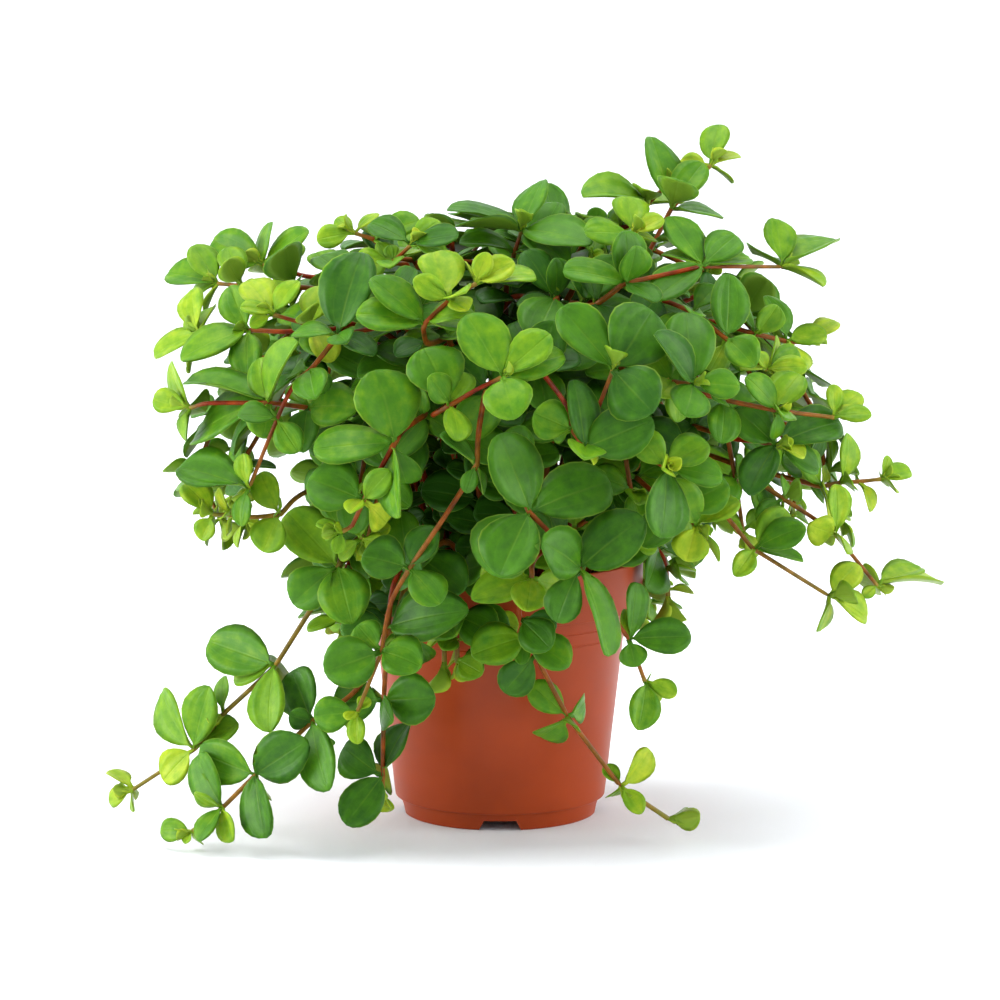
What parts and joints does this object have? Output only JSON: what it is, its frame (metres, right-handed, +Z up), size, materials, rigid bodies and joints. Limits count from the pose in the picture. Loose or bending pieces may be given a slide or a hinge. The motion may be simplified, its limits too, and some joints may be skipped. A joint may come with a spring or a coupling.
{
  "type": "potted trailing peperomia",
  "caption": "Bushy trailing house plant with red-brown stalks and whorls of thick round green leaves, in a thin round terracotta-coloured plastic nursery pot.",
  "frame": {"origin": "centre of the underside of the pot, on the surface it stands on", "axes": "+Z up the pot's axis, +X to the right of the picture, along the plant's longest extent, and -Y towards the camera of the picture"},
  "size_m": [0.3459, 0.2711, 0.2898],
  "materials": {
    "pot_plastic": "satin terracotta-coloured plastic, smooth",
    "potting_mix": "dark, damp, crumbly",
    "leafy_stem": "waxy green leaves, smooth red-brown stalks"
  },
  "bodies": {
    "root": {"pot": "pot_plastic", "soil": "potting_mix", "stem_left_trailer": "leafy_stem", "stem_left_low_trailer": "leafy_stem", "stem_front_long": "leafy_stem", "stem_front_red": "leafy_stem", "stem_front_upper": "leafy_stem", "stem_left_arch": "leafy_stem", "stem_left_olive": "leafy_stem", "stem_left_level": "leafy_stem", "stem_left_high": "leafy_stem", "stem_left_crown": "leafy_stem", "stem_left_ridge": "leafy_stem", "stem_left_bright": "leafy_stem", "stem_top_bright": "leafy_stem", "stem_front_bright": "leafy_stem", "stem_mid_upright": "leafy_stem", "stem_mid_bud": "leafy_stem", "stem_right_long": "leafy_stem", "stem_right_tall": "leafy_stem", "stem_top_cluster": "leafy_stem", "stem_right_shoulder": "leafy_stem", "stem_right_pink": "leafy_stem", "stem_right_level": "leafy_stem", "stem_right_broad": "leafy_stem", "stem_right_inner": "leafy_stem", "stem_mid_right": "leafy_stem", "stem_mid_right_low": "leafy_stem", "stem_right_low": "leafy_stem", "stem_right_orange": "leafy_stem", "stem_right_thin": "leafy_stem", "stem_centre_front": "leafy_stem", "stem_front_trailer": "leafy_stem", "stem_top_left": "leafy_stem", "stem_top_back": "leafy_stem", "stem_top_right": "leafy_stem", "stem_right_side_shoot": "leafy_stem", "stem_back_1": "leafy_stem", "stem_back_2": "leafy_stem", "stem_back_3": "leafy_stem", "stem_back_4": "leafy_stem", "stem_back_5": "leafy_stem", "stem_back_6": "leafy_stem", "stem_back_7": "leafy_stem", "stem_back_8": "leafy_stem", "stem_back_9": "leafy_stem", "stem_back_top_1": "leafy_stem", "stem_back_top_2": "leafy_stem", "stem_back_top_3": "leafy_stem", "stem_back_top_4": "leafy_stem", "stem_crown_1": "leafy_stem", "stem_crown_2": "leafy_stem", "stem_inner_1": "leafy_stem", "stem_inner_2": "leafy_stem", "stem_inner_3": "leafy_stem", "stem_inner_4": "leafy_stem", "stem_inner_5": "leafy_stem", "stem_inner_6": "leafy_stem", "stem_back_trailer_1": "leafy_stem", "stem_back_trailer_2": "leafy_stem"}
  },
  "joints": []
}
